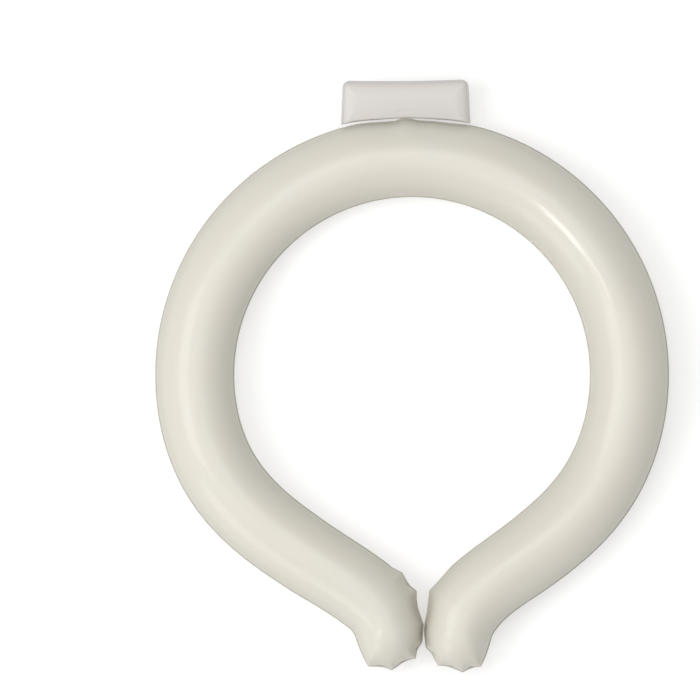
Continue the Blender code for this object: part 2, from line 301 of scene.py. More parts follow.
def smooth_reach(rows, places):
    """Reaches at some places, on a smooth curve through a table's rows that breaks at its peaks."""
    at = toe_length(np.array([row.place for row in rows]))
    reach = np.array([row.reach for row in rows])
    step = np.diff(at)
    slope = np.diff(reach) / step
    before = np.concatenate(([slope[0]], slope))
    after = np.concatenate((slope, [slope[-1]]))
    for index in range(1, len(rows) - 1):
        if rows[index].peak:
            before[index] *= PEAK_PULL
            after[index] *= PEAK_PULL
        elif before[index] * after[index] <= 0:
            before[index] = after[index] = 0.0
        else:
            shared = slope[index - 1] * step[index] + slope[index] * step[index - 1]
            before[index] = after[index] = shared / (step[index - 1] + step[index])
    wanted = np.clip(toe_length(np.asarray(places)), at[0], at[-1])
    span = np.clip(np.searchsorted(at, wanted, side="right") - 1, 0, len(step) - 1)
    share = (wanted - at[span]) / step[span]
    square, cube = share ** 2, share ** 3
    return ((2 * cube - 3 * square + 1) * reach[span] + (3 * square - 2 * cube) * reach[span + 1]
            + (cube - 2 * square + share) * step[span] * after[span]
            + (cube - square) * step[span] * before[span + 1])


def toe_length(place):
    """Real length along the rim for a place: tube reaches before the toe, half turns round it."""
    return np.where(place < 0, place * TUBE_REACH, place * pi * TUBE_REACH)


def rise(value, start, end):
    """Smooth rise from 0 at start to 1 at end."""
    share = np.clip((value - start) / (end - start), 0.0, 1.0)
    return share * share * (3 - 2 * share)


def nape_dip(x):
    """How far the ring is drawn in at places along it from the tab's middle."""
    return NAPE_DIP * (1 - rise(np.abs(x - NAPE_DIP_MIDDLE), *NAPE_DIP_REACH))


def tab_edge_drop(x, half_width):
    """How far the tab's lower edge lies under an even slit, most in the tab's middle."""
    return TAB_EDGE_FLAT * (1 - rise(np.abs(x), TAB_EDGE_LEVEL * half_width, half_width))


def nape_reach(middle):
    """Change of the ring's outer reach near the tab: the dip, and the neck that meets the tab."""
    angle = np.arctan2(middle[:, 0], middle[:, 1])
    x = RING_OUTER_RADIUS * (angle - radians(TAB_PLACE_DEG))
    neck = bpy.context.scene.neck_cooler_tab.slit - TAB_EDGE_FLAT - NECK_CLEARANCE
    dip = nape_dip(x)
    return (neck + dip) * (1 - rise(np.abs(x), *NECK_REACH)) - dip


class TubeOutline:
    """The tube's plan outline: a closed loop of places on its middle line with the way outward.

    It runs along the outer side from the left toe to the right one, round the right toe, back
    along the inner side and round the left toe.
    """

    def __init__(self, coarseness=1.0):
        left = self.leg(LEFT_LEG, coarseness)
        right = self.leg(RIGHT_LEG, coarseness)
        ring = self.ring(coarseness)
        middle = [np.concatenate((a[::-1], b, c)) for a, b, c in zip(left, ring, right)]
        self.middle, across, places, hands = middle
        self.stations = len(self.middle)
        right_toe = self.toe(RIGHT_LEG, right, coarseness, True)
        left_toe = self.toe(LEFT_LEG, left, coarseness, False)
        self.right_count = len(right_toe[0])
        no_place = np.full(self.stations, FAR_PLACE)
        self.point = np.concatenate((self.middle, right_toe[0], self.middle[::-1], left_toe[0]))
        self.way = np.concatenate((across, right_toe[1], -across[::-1], left_toe[1]))
        self.place = np.concatenate((no_place, right_toe[2], places[::-1], left_toe[2]))
        self.hand = np.concatenate((hands, right_toe[3], hands[::-1], left_toe[3]))
        tuck = np.where(hands < 0, smooth_reach(LEFT_TUCK, places), 0.0)
        toe_tuck = np.where(self.hand < 0, smooth_reach(LEFT_TOE_TUCK, self.place), 0.0)
        outer = smooth_reach(OUTER_WIDTHS, places) - tuck + nape_reach(self.middle) / TUBE_REACH
        inner = smooth_reach(INNER_WIDTHS, self.place) - toe_tuck
        rim = np.where(self.hand > 0, smooth_reach(RIGHT_RIM, self.place),
                       smooth_reach(LEFT_RIM, self.place) - toe_tuck)
        rim = inner + (rim - inner) * rise(self.place, *RIM_TAKEOVER)
        outside = np.arange(len(self.point)) < self.stations
        padded = np.concatenate((outer, np.ones(len(self.point) - self.stations)))
        self.plain = np.where(outside, padded, inner)
        self.rim = np.where(outside, padded, rim)
        self.along = toe_length(self.place)
        self.tip = np.sin(np.clip(self.place, 0.0, 1.0) * pi)

    @staticmethod
    def leg(leg, coarseness):
        """Middle points, ways across, places and hand of a leg, from the ring to the toe's centre."""
        leave, heading = radians(leg.leave_deg), radians(leg.heading_deg)
        start = Vector((sin(leave), cos(leave))) * RING_RADIUS
        end = Vector((leg.toe_reach * TUBE_REACH + TOE_GAP / 2, -leg.toe_drop * RING_RADIUS))
        start_handle = start + Vector((cos(leave), -sin(leave))) * (leg.start_pull * RING_RADIUS)
        end_handle = end - Vector((cos(heading), -sin(heading))) * (leg.end_pull * RING_RADIUS)
        curve = np.array([tuple(p) for p in interpolate_bezier(start, start_handle, end_handle, end,
                                                               CURVE_SAMPLES)])
        run = np.concatenate(([0.0], np.cumsum(np.linalg.norm(np.diff(curve, axis=0), axis=1))))
        ways = np.gradient(curve, run, axis=0)
        plain_length = run[-1] - TOE_STRETCH
        coarse = np.arange(0.0, plain_length, LEG_STEP * coarseness)
        fine = np.linspace(plain_length, run[-1], round(TOE_STRETCH / TOE_STEP / coarseness) + 1)
        along = np.concatenate((coarse, fine))
        point, way = (np.stack([np.interp(along, run, line[:, axis]) for axis in (0, 1)], axis=1)
                      for line in (curve, ways))
        way /= np.linalg.norm(way, axis=1)[:, None]
        mirror = np.array([leg.hand, 1.0])
        across = np.stack((-way[:, 1] * leg.hand, way[:, 0]), axis=1)
        return point * mirror, across, (along - run[-1]) / TUBE_REACH, np.full(len(along), leg.hand)

    @staticmethod
    def ring(coarseness):
        """The same four lists for the round part, from the left leg to the right one."""
        sweep = radians(LEFT_LEG.leave_deg + RIGHT_LEG.leave_deg)
        count = round(sweep * RING_RADIUS / RING_STEP / coarseness)
        angle = sweep * np.arange(1, count) / count - radians(LEFT_LEG.leave_deg)
        outward = np.stack((np.sin(angle), np.cos(angle)), axis=1)
        far = np.full(count - 1, FAR_PLACE)
        return outward * RING_RADIUS, outward, far, np.sign(angle)

    @staticmethod
    def toe(leg, stations, coarseness, backward):
        """Spokes round a toe's centre, from its meeting side outward or backward."""
        count = round(pi * TUBE_REACH / TOE_STEP / coarseness)
        places = np.arange(1, count) / count
        if backward:
            places = places[::-1]
        angle = places * pi - radians(leg.heading_deg) - pi / 2
        way = np.stack((np.cos(angle) * leg.hand, np.sin(angle)), axis=1)
        centre = np.repeat(stations[0][-1:], len(places), axis=0)
        return centre, way, places, np.full(len(places), leg.hand)

    def in_place(self, reach):
        """Plan points in the object's frame, at a reach from the middle line."""
        return self.point + self.way * np.asarray(reach)[:, None] + RING_CENTRE


def peaks_of(rows):
    """Lengths along the rim of a toe's gathers, and of the hollows between them."""
    peaks = toe_length(np.array([row.place for row in rows if row.peak]))
    return peaks, (peaks[1:] + peaks[:-1]) / 2


def gather_relief(outline, latitude, settings):
    """How far the film stands out at one latitude for its gathers and creases."""
    relief = np.zeros(len(outline.along))
    fade = 1 - rise(latitude, *PUCKER_LATITUDES)
    for rows, hand in RIMS:
        peaks, hollows = peaks_of(rows)
        mine = outline.hand == hand
        for number, hollow in enumerate(hollows):
            lean = PUCKER_DRIFT * latitude * (-1) ** number
            away = (outline.along - hollow - lean) / PUCKER_WIDTH
            relief -= mine * settings.pucker_depth * fade * np.exp(-away ** 2)
        for peak in peaks:
            away = (outline.along - peak) / RIDGE_WIDTH
            relief += mine * settings.ridge_height * fade * np.exp(-away ** 2)
    return relief


def weld_ruffle(outline, settings):
    """How far the weld rises or falls along the toes, up and down in turn."""
    lift = np.zeros(len(outline.along))
    for rows, hand in RIMS:
        mine = outline.hand == hand
        for number, peak in enumerate(peaks_of(rows)[0]):
            away = (outline.along - peak) / RUFFLE_WIDTH
            lift += mine * settings.ruffle * (-1) ** number * np.exp(-away ** 2)
    return lift


def wander(plan):
    """Slow unevenness at plan points, between about -1 and 1."""
    total = np.zeros(len(plan))
    for wave in WANDER_WAVES:
        turn = radians(wave.turn_deg)
        run = plan[:, 0] * cos(turn) + plan[:, 1] * sin(turn)
        total += wave.share * np.sin(run / wave.length * 2 * pi + wave.start)
    return total


def rest_on(height, rest):
    """Heights kept above a resting plane, with a soft turn into it."""
    over = (height - rest) / REST_SOFTNESS
    return rest + REST_SOFTNESS * np.logaddexp(0.0, over)


def wall_points(outline, latitude, side, inset, settings):
    """Points of the tube's wall at one latitude of its section, an inset inside the film's face."""
    fade = cos(latitude) ** TOE_FADE_POWER
    share = outline.plain + (outline.rim - outline.plain) * fade
    relief = gather_relief(outline, latitude, settings) - inset
    reach = cos(latitude) ** (1 - TOE_BLUNTNESS * outline.tip)
    plan = outline.in_place((share * TUBE_REACH - settings.rim_proud) * reach)
    relief = relief + settings.wander * wander(plan) * rise(latitude, *WANDER_LATITUDES)
    plan = plan + outline.way * (relief * cos(latitude))[:, None]
    half_height = TUBE_HALF_HEIGHT - PARTING_GAP
    lift = weld_ruffle(outline, settings) * cos(latitude) ** RUFFLE_FADE_POWER
    height = WELD_Z + lift + side * (PARTING_GAP + (half_height + relief) * sin(latitude))
    if side < 0:
        height = rest_on(height, FLOOR_Z + inset)
    return np.column_stack((plan, height))


def rim_points(outline, inward, up, side, settings):
    """Points of the weld rim, from its edge inward and from the parting upward, as shares."""
    plan = outline.in_place(outline.rim * TUBE_REACH - inward * settings.rim_proud)
    height = WELD_Z + weld_ruffle(outline, settings) + side * (PARTING_GAP + up * settings.rim_half)
    return np.column_stack((plan, height))


def new_object(name, data):
    """Object in the scene for a mesh, a light or a camera."""
    made = bpy.data.objects.new(name, data)
    bpy.context.scene.collection.objects.link(made)
    return made


class Shell:
    """Collects loops of points and the faces between them, and makes one closed mesh object."""

    def __init__(self):
        self.points = []
        self.faces = []
        self.count = 0

    def add(self, points):
        """Adds points and returns their numbers."""
        numbers = np.arange(len(points)) + self.count
        self.points.append(points)
        self.count += len(points)
        return numbers

    def bands(self, loops):
        """Bands of quads between loops of as many points, each joined to the next."""
        for first, second in zip(loops, loops[1:]):
            quads = np.column_stack((np.roll(first, 1), first, second, np.roll(second, 1)))
            self.faces.extend(quads.tolist())

    def cap(self, outline, loop, middle):
        """Closes a loop over the tube's middle line, with a fan over each toe."""
        inner_start = outline.stations + outline.right_count
        outer = loop[:outline.stations]
        inner = loop[inner_start:inner_start + outline.stations][::-1]
        for row in (outer, inner):
            quads = np.column_stack((row[:-1], row[1:], middle[1:], middle[:-1]))
            self.faces.extend(quads.tolist())
        right_fan = loop[outline.stations - 1:inner_start + 1]
        left_fan = np.append(loop[inner_start + outline.stations - 1:], loop[0])
        for fan, centre in ((right_fan, middle[-1]), (left_fan, middle[0])):
            self.faces.extend([[int(a), int(b), int(centre)] for a, b in zip(fan, fan[1:])])

    def finish(self, name, material):
        """Makes the object, with its faces turned outward."""
        mesh = bpy.data.meshes.new(name)
        mesh.from_pydata(np.concatenate(self.points).tolist(), [], self.faces)
        bm = bmesh.new()
        bm.from_mesh(mesh)
        bmesh.ops.recalc_face_normals(bm, faces=bm.faces)
        bm.to_mesh(mesh)
        bm.free()
        mesh.shade_smooth()
        mesh.materials.append(material)
        return new_object(name, mesh)


def crown_line(outline, side, inset, settings):
    """Points along the tube's middle line at the top or the bottom of its section."""
    plan = outline.middle + RING_CENTRE
    half_height = TUBE_HALF_HEIGHT - PARTING_GAP - inset + settings.wander * wander(plan)
    height = WELD_Z + side * (PARTING_GAP + half_height)
    if side < 0:
        height = rest_on(height, FLOOR_Z + inset)
    return np.column_stack((plan, height))


def wall_loops(shell, outline, latitudes, side, inset, settings):
    """Loops of the tube's wall at some latitudes, in their order."""
    return [shell.add(wall_points(outline, latitude, side, inset, settings))
            for latitude in latitudes]


def build_film(name, side, material, settings):
    """One film with its half of the weld rim: side is 1 for the upper one, -1 for the lower."""
    outline = TubeOutline()
    shell = Shell()
    top = radians(WALL_TOP_DEG)
    outer_latitudes = np.linspace(radians(WALL_START_DEG), top, WALL_STEPS)
    inner_latitudes = np.linspace(0.0, top, LINING_STEPS)
    outside = [shell.add(rim_points(outline, inward, up, side, settings))
               for inward, up in RIM_PROFILE]
    outside += wall_loops(shell, outline, outer_latitudes, side, 0.0, settings)
    lining = wall_loops(shell, outline, inner_latitudes, side, settings.thickness, settings)
    for loops, inset in ((outside, 0.0), (lining, settings.thickness)):
        shell.bands(loops)
        shell.cap(outline, loops[-1], shell.add(crown_line(outline, side, inset, settings)))
    shell.bands((outside[0], lining[0]))
    return shell.finish(name, material)


def build_wax(name, material, settings):
    """The wax that fills the tube, clear of both films."""
    outline = TubeOutline(WAX_COARSENESS)
    shell = Shell()
    inset = settings.thickness + WALL_GAP
    steps = np.linspace(0.0, radians(WALL_TOP_DEG), WAX_STEPS)
    loops = wall_loops(shell, outline, steps[:0:-1], -1, inset, settings)
    loops += wall_loops(shell, outline, steps, 1, inset, settings)
    shell.bands(loops)
    for side, loop in ((-1, loops[0]), (1, loops[-1])):
        shell.cap(outline, loop, shell.add(crown_line(outline, side, inset, settings)))
    return shell.finish(name, material)


def tab_edge(inset, settings):
    """The tab's outline drawn upright above the ring's centre, moved inward by inset.

    The lower edge follows the ring, with a narrower margin than the other edges.
    """
    lower = RING_OUTER_RADIUS + settings.slit + inset * LOWER_EDGE_SHARE
    top = RING_OUTER_RADIUS + settings.slit + TAB_HEIGHT - inset
    half_bottom = settings.width / 2 - inset
    low = sqrt(lower ** 2 - half_bottom ** 2)
    half_top = half_bottom - (top - low) * tan(radians(TAB_FLARE_DEG))
    corner = max(settings.corner - inset, TAB_SMALLEST_CORNER)
    edge_count = round(settings.width / 2 / TAB_EDGE_STEP)
    x = half_bottom * np.arange(edge_count + 1) / edge_count
    right = np.column_stack((x, np.sqrt((lower - tab_edge_drop(x, half_bottom)) ** 2 - x ** 2)))
    side_count = round(TAB_HEIGHT / TAB_EDGE_STEP)
    share = (np.arange(1, side_count) / side_count)[:, None]
    side = (1 - share) * [half_bottom, low] + share * [half_top, top - corner]
    turn = np.linspace(0.0, pi / 2, TAB_CORNER_STEPS)
    half_flat = half_top - corner
    bend = np.column_stack((half_flat + corner * np.cos(turn), top - corner + corner * np.sin(turn)))
    flat_x = half_flat * (1 - np.arange(1, edge_count + 1) / edge_count)
    flat = np.column_stack((flat_x, top - TAB_TOP_DIP * (1 - (flat_x / half_flat) ** 2)))
    half = np.concatenate((right, side, bend, flat))
    return np.concatenate((half, half[-2:0:-1] * [-1, 1]))


def tab_profile(settings):
    """Insets and heights from the tab's middle height at its edge to the end of its shoulder."""
    rim, half = settings.rim_width, settings.rim_half
    rows = [(rim * inward, half * up) for inward, up in TAB_RIM_PROFILE]
    climb = TAB_HALF_THICKNESS - half
    for step in range(1, TAB_SHOULDER_STEPS + 1):
        share = step / TAB_SHOULDER_STEPS
        steepness = SHOULDER_STEEPNESS - (SHOULDER_STEEPNESS - 1) * share
        rows.append((rim + settings.shoulder * share, half + climb * share * steepness))
    return rows


def tab_field_relief(points, depth_in, settings):
    """Height of the tab's field over its shoulder: the pillow, the pressed line and the seal."""
    shoulder_end = settings.rim_width + settings.shoulder
    inward = (depth_in - shoulder_end) / (TAB_SPINE_INSET - shoulder_end)
    pillow = settings.pillow * inward * (2 - inward)
    line = LINE_SHARE * np.exp(-((depth_in - LINE_INSET) / LINE_HALF_WIDTH) ** 2)
    radius = np.hypot(points[:, 0], points[:, 1]) - RING_OUTER_RADIUS - settings.slit
    across = (radius - SEAL_ABOVE_EDGE) / SEAL_HALF_HEIGHT
    ends = 1 - rise(np.abs(points[:, 0]), SEAL_WIDTH / 2 - SEAL_END, SEAL_WIDTH / 2)
    return pillow - settings.pressed * (line + ends * np.exp(-across ** 4))


def tab_spine(base, settings):
    """Points of the tab's spine that the points of the shoulder's inner edge close in on."""
    half_spine = settings.width / 2 - TAB_SPINE_INSET
    x = np.clip(base[:, 0], -half_spine, half_spine)
    drop = RING_OUTER_RADIUS - np.sqrt(RING_OUTER_RADIUS ** 2 - x ** 2)
    y = RING_OUTER_RADIUS + settings.slit + TAB_HEIGHT / 2 - drop / 2
    return np.column_stack((x, y))


def tab_layers(settings):
    """Flat loops and heights of the tab's upper half, from its edge to its spine."""
    profile = tab_profile(settings)
    shoulder_end = profile[-1][0]
    base = tab_edge(shoulder_end, settings)
    spine = tab_spine(base, settings)
    layers = [(tab_edge(inset, settings), np.full(len(base), height)) for inset, height in profile]
    for step in range(1, TAB_FIELD_STEPS + 1):
        share = step / (TAB_FIELD_STEPS + TAB_LAST_STEP)
        plan = base + (spine - base) * share
        depth_in = shoulder_end + (TAB_SPINE_INSET - shoulder_end) * share
        layers.append((plan, TAB_HALF_THICKNESS + tab_field_relief(plan, depth_in, settings)))
    return layers


def tab_in_place(plan, height):
    """A flat loop of the tab in its place: leaned about its root and turned round the ring."""
    turn = Matrix.Rotation(-radians(TAB_PLACE_DEG), 3, "Z")
    lean = Matrix.Rotation(-radians(TAB_LEAN_DEG), 3, "Z")
    root = Vector((0.0, RING_OUTER_RADIUS, 0.0))
    shift = turn @ (root - lean @ root)
    flat = np.column_stack((plan, height))
    return flat @ np.array(turn @ lean).T + np.array(shift) + [*RING_CENTRE, WELD_Z]


def build_tab(name, material, settings):
    """The flat welded tab: thin rim, rounded shoulder and a field with its pressed marks."""
    shell = Shell()
    layers = tab_layers(settings)
    upper = [shell.add(tab_in_place(plan, height)) for plan, height in layers]
    lower = [shell.add(tab_in_place(plan, -height)) for plan, height in layers[1:]]
    for loops in (upper, upper[:1] + lower):
        shell.bands(loops)
        shell.faces.append(loops[-1].tolist())
    return shell.finish(name, material)


def node(tree, kind, place, **values):
    """Adds a shader node and sets its settings and unlinked sockets."""
    made = tree.nodes.new(kind)
    made.location = place
    for key, value in values.items():
        if hasattr(made, key):
            setattr(made, key, value)
        else:
            made.inputs[key.replace("_", " ")].default_value = value
    return made


# Kinds of sockets on effect groups
NUMBER = "NodeSocketFloat"
COLOUR = "NodeSocketColor"


def new_group(name, inputs, outputs):
    """Starts a shader node group with named inputs and outputs."""
    group = bpy.data.node_groups.new(name, "ShaderNodeTree")
    for label, kind, default in inputs:
        socket = group.interface.new_socket(label, in_out="INPUT", socket_type=kind)
        socket.default_value = default
    for label, kind in outputs:
        group.interface.new_socket(label, in_out="OUTPUT", socket_type=kind)
    entry = group.nodes.new("NodeGroupInput")
    entry.location = (-900, 0)
    leave = group.nodes.new("NodeGroupOutput")
    leave.location = (700, 0)
    return group, entry, leave


def own_places(group):
    """Places in the piece's own frame."""
    return node(group, "ShaderNodeTexCoord", (-900, 300)).outputs["Object"]


def times(tree, value, factor, place):
    """A socket's value times a plain factor."""
    made = node(tree, "ShaderNodeMath", place, operation="MULTIPLY")
    made.inputs[1].default_value = factor
    tree.links.new(value, made.inputs[0])
    return made.outputs[0]


# Scales of the grain's pebbles and of the drift's small patches, over those of the main noise
PEBBLE_SCALE = 0.45
SMALL_PATCH_SCALE = 6.0


def film_grain_group():
    """Fine matt grain of formed film and the faint marks that handling leaves on it."""
    group, entry, leave = new_group(
        "film_grain",
        [("Grain Scale", NUMBER, 3200.0), ("Mark Scale", NUMBER, 60.0), ("Grain Share", NUMBER, 0.7)],
        [("Height", NUMBER), ("Marks", NUMBER)])
    link = group.links.new
    places = own_places(group)
    grain = node(group, "ShaderNodeTexNoise", (-600, 300), Detail=2.0, Roughness=0.6)
    pebbles = node(group, "ShaderNodeTexVoronoi", (-600, 0), feature="SMOOTH_F1", Smoothness=0.6)
    marks = node(group, "ShaderNodeTexNoise", (-600, -300), Detail=4.0, Roughness=0.65, Distortion=1.4)
    for texture in (grain, pebbles, marks):
        link(places, texture.inputs["Vector"])
    fine = entry.outputs["Grain Scale"]
    link(fine, grain.inputs["Scale"])
    link(times(group, fine, PEBBLE_SCALE, (-750, 0)), pebbles.inputs["Scale"])
    link(entry.outputs["Mark Scale"], marks.inputs["Scale"])
    both = node(group, "ShaderNodeMix", (-200, 200), data_type="FLOAT")
    link(entry.outputs["Grain Share"], both.inputs["Factor"])
    link(pebbles.outputs["Distance"], both.inputs["A"])
    link(grain.outputs["Fac"], both.inputs["B"])
    spread = node(group, "ShaderNodeMapRange", (-200, -200), From_Min=0.35, From_Max=0.72)
    link(marks.outputs["Fac"], spread.inputs["Value"])
    link(both.outputs["Result"], leave.inputs["Height"])
    link(spread.outputs["Result"], leave.inputs["Marks"])
    return group


def tone_drift_group():
    """Soft patches of a second colour, wide ones and small ones together."""
    group, entry, leave = new_group(
        "tone_drift",
        [("Colour", COLOUR, (0.7, 0.7, 0.7, 1)), ("Second Colour", COLOUR, (0.6, 0.6, 0.6, 1)),
         ("Patch Scale", NUMBER, 28.0)],
        [("Colour", COLOUR)])
    link = group.links.new
    places = own_places(group)
    wide = node(group, "ShaderNodeTexNoise", (-600, 300), Detail=1.0)
    small = node(group, "ShaderNodeTexNoise", (-600, 0), Detail=3.0)
    link(places, wide.inputs["Vector"])
    link(places, small.inputs["Vector"])
    scale = entry.outputs["Patch Scale"]
    link(scale, wide.inputs["Scale"])
    link(times(group, scale, SMALL_PATCH_SCALE, (-750, 0)), small.inputs["Scale"])
    both = node(group, "ShaderNodeMix", (-350, 150), data_type="FLOAT", Factor=0.3)
    link(wide.outputs["Fac"], both.inputs["A"])
    link(small.outputs["Fac"], both.inputs["B"])
    spread = node(group, "ShaderNodeMapRange", (-150, 150), interpolation_type="SMOOTHSTEP",
                  From_Min=0.34, From_Max=0.66)
    link(both.outputs["Result"], spread.inputs["Value"])
    tint = node(group, "ShaderNodeMix", (200, 0), data_type="RGBA")
    link(spread.outputs["Result"], tint.inputs["Factor"])
    link(entry.outputs["Colour"], tint.inputs["A"])
    link(entry.outputs["Second Colour"], tint.inputs["B"])
    link(tint.outputs["Result"], leave.inputs["Colour"])
    return group


def weld_height_band_group():
    """Mask of a band about the weld's plane: 1 within a half height of it, 0 beyond it. It marks the
    pressed weld and the bands of painted shade.
    """
    group, entry, leave = new_group(
        "weld_height_band",
        [("Weld Height", NUMBER, WELD_Z), ("Half Height", NUMBER, 0.0005), ("Softness", NUMBER, 0.0003)],
        [("Mask", NUMBER)])
    link = group.links.new
    places = own_places(group)
    split = node(group, "ShaderNodeSeparateXYZ", (-700, 300))
    link(places, split.inputs["Vector"])
    offset = node(group, "ShaderNodeMath", (-500, 200), operation="SUBTRACT")
    link(split.outputs["Z"], offset.inputs[0])
    link(entry.outputs["Weld Height"], offset.inputs[1])
    away = node(group, "ShaderNodeMath", (-300, 200), operation="ABSOLUTE")
    link(offset.outputs[0], away.inputs[0])
    end = node(group, "ShaderNodeMath", (-300, -100), operation="ADD")
    link(entry.outputs["Half Height"], end.inputs[0])
    link(entry.outputs["Softness"], end.inputs[1])
    mask = node(group, "ShaderNodeMapRange", (0, 100), interpolation_type="SMOOTHSTEP",
                To_Min=1.0, To_Max=0.0)
    link(away.outputs[0], mask.inputs["Value"])
    link(entry.outputs["Half Height"], mask.inputs["From Min"])
    link(end.outputs[0], mask.inputs["From Max"])
    link(mask.outputs["Result"], leave.inputs["Mask"])
    return group


def shared_group(name):
    """The named effect group, made the first time that a material asks for it."""
    makers = {"film_grain": film_grain_group, "tone_drift": tone_drift_group,
              "weld_height_band": weld_height_band_group}
    return bpy.data.node_groups.get(name) or makers[name]()


def place_group(tree, name, place, **values):
    """Puts a shared effect group in a material with its own values."""
    return node(tree, "ShaderNodeGroup", place, node_tree=shared_group(name), **values)


def start_material(name):
    """New node material and its shader."""
    material = bpy.data.materials.new(name)
    material.use_nodes = True
    tree = material.node_tree
    return material, tree, tree.nodes["Principled BSDF"]


def opaque(colour):
    """A colour with full alpha."""
    return (*colour, 1.0)


def grain_finish(tree, shader, grain, dullness, strength, depth):
    """Lets the grain group's marks drive a material's roughness, and its height the bump."""
    link = tree.links.new
    low, high = dullness
    dull = node(tree, "ShaderNodeMapRange", (-400, 0), To_Min=low, To_Max=high)
    link(grain.outputs["Marks"], dull.inputs["Value"])
    link(dull.outputs["Result"], shader.inputs["Roughness"])
    bump = node(tree, "ShaderNodeBump", (-300, -300), Strength=strength, Distance=depth)
    link(grain.outputs["Height"], bump.inputs["Height"])
    link(bump.outputs["Normal"], shader.inputs["Normal"])


# How a film takes its finish and its painted shade: half heights and softness of its weld, which is
# partly painted edge shade, and of its side band of painted shade, the span of its roughness and the
# weight of its gloss
Finish = namedtuple("Finish", "weld_half weld_soft side_half side_soft dullness gloss")
TUBE_FINISH_AND_SHADE = Finish(0.00045, 0.0004, 0.0035, 0.0062, (0.41, 0.48), 0.2)
TAB_FINISH_AND_SHADE = Finish(0.00045, 0.0003, 0.00048, 0.0007, (0.47, 0.54), 0.1)
GRAIN_DEPTH = 0.00002
GLOSS_ROUGHNESS = 0.06
FILM_IOR = 1.48


def film_like_material(name, look, finish):
    """Matt formed film: drifting tone, painted shade on its sides, a pressed weld darkened partly with
    painted edge shade, fine grain, faint marks and a soft gloss.
    """
    material, tree, shader = start_material(name)
    link = tree.links.new
    drift = place_group(tree, "tone_drift", (-1100, 300), Colour=opaque(look.colour),
                        Second_Colour=opaque(look.warm_colour), Patch_Scale=26.0)
    side = place_group(tree, "weld_height_band", (-1100, 100), Weld_Height=WELD_Z,
                       Half_Height=finish.side_half, Softness=finish.side_soft)
    weld = place_group(tree, "weld_height_band", (-1100, -100), Weld_Height=WELD_Z,
                       Half_Height=finish.weld_half, Softness=finish.weld_soft)
    grain = place_group(tree, "film_grain", (-1100, -300), Grain_Scale=2600.0, Mark_Scale=55.0,
                        Grain_Share=0.65)
    # Painted shade: the side colour darkens the band about the weld's plane, the tube's sides and the
    # tab's rim and shoulder
    shaded = node(tree, "ShaderNodeMix", (-700, 300), data_type="RGBA", B=opaque(look.side_shade_colour))
    link(side.outputs["Mask"], shaded.inputs["Factor"])
    link(drift.outputs["Colour"], shaded.inputs["A"])
    # The weld colour darkens the weld rim: partly the weld's own tone, partly painted edge shade
    tint = node(tree, "ShaderNodeMix", (-500, 250), data_type="RGBA", B=opaque(look.weld_and_edge_shade_colour))
    link(weld.outputs["Mask"], tint.inputs["Factor"])
    link(shaded.outputs["Result"], tint.inputs["A"])
    link(tint.outputs["Result"], shader.inputs["Base Color"])
    grain_finish(tree, shader, grain, finish.dullness, strength=0.5, depth=GRAIN_DEPTH)
    shader.inputs["Coat Weight"].default_value = finish.gloss
    shader.inputs["Coat Roughness"].default_value = GLOSS_ROUGHNESS
    shader.inputs["IOR"].default_value = FILM_IOR
    return material


def wax_material(look):
    """Cloudy set wax."""
    material, tree, shader = start_material("cooling_wax")
    drift = place_group(tree, "tone_drift", (-700, 200), Colour=opaque(look.colour),
                        Second_Colour=opaque(look.cloudy_colour), Patch_Scale=60.0)
    grain = place_group(tree, "film_grain", (-700, -150), Grain_Scale=900.0, Mark_Scale=120.0,
                        Grain_Share=0.9)
    tree.links.new(drift.outputs["Colour"], shader.inputs["Base Color"])
    grain_finish(tree, shader, grain, dullness=(0.5, 0.68), strength=0.4, depth=0.0001)
    return material


# The floor's second tone over its first
FLOOR_TONE_SHARE = 0.985


def floor_material(colour, glow):
    """Pale matt sheet of a light table, lit a little from below."""
    material, tree, shader = start_material("table_sheet")
    link = tree.links.new
    faint = tuple(channel * FLOOR_TONE_SHARE for channel in colour)
    drift = place_group(tree, "tone_drift", (-700, 200), Colour=opaque(colour),
                        Second_Colour=opaque(faint), Patch_Scale=5.0)
    grain = place_group(tree, "film_grain", (-700, -150), Grain_Scale=1800.0, Mark_Scale=9.0,
                        Grain_Share=1.0)
    link(drift.outputs["Colour"], shader.inputs["Base Color"])
    grain_finish(tree, shader, grain, dullness=(0.85, 0.95), strength=0.2, depth=0.00005)
    shader.inputs["Specular IOR Level"].default_value = 0.2
    link(drift.outputs["Colour"], shader.inputs["Emission Color"])
    shader.inputs["Emission Strength"].default_value = glow
    return material


def attach(piece, replaced):
    """Rides a piece on the body and stands it for its solid."""
    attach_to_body(piece, BODY)
    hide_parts(replaced)


class NECKCOOLER_OT_films(bpy.types.Operator):
    """Build the upper and the lower film with their weld rim, puckered toes and filling neck"""

    bl_idname = "neck_cooler.films"
    bl_label = "Build Films"

    def execute(self, context):
        look = context.scene.neck_cooler_film
        material = film_like_material("formed_film", look, TUBE_FINISH_AND_SHADE)
        for name, side, replaced in (("upper_film_skin", 1, "upper_film"),
                                     ("lower_film_skin", -1, "lower_film")):
            attach(build_film(name, side, material, look), replaced)
        return {"FINISHED"}


class NECKCOOLER_OT_wax(bpy.types.Operator):
    """Build the wax that fills the tube"""

    bl_idname = "neck_cooler.wax"
    bl_label = "Build Wax"

    def execute(self, context):
        material = wax_material(context.scene.neck_cooler_wax)
        piece = build_wax("wax_core", material, context.scene.neck_cooler_film)
        attach(piece, "cooling_fill")
        return {"FINISHED"}


class NECKCOOLER_OT_tab(bpy.types.Operator):
    """Build the flat welded tab at the nape"""

    bl_idname = "neck_cooler.tab"
    bl_label = "Build Nape Tab"

    def execute(self, context):
        look = context.scene.neck_cooler_tab
        material = film_like_material("tab_film", look, TAB_FINISH_AND_SHADE)
        attach(build_tab("nape_tab_skin", material, look), "nape_tab")
        return {"FINISHED"}


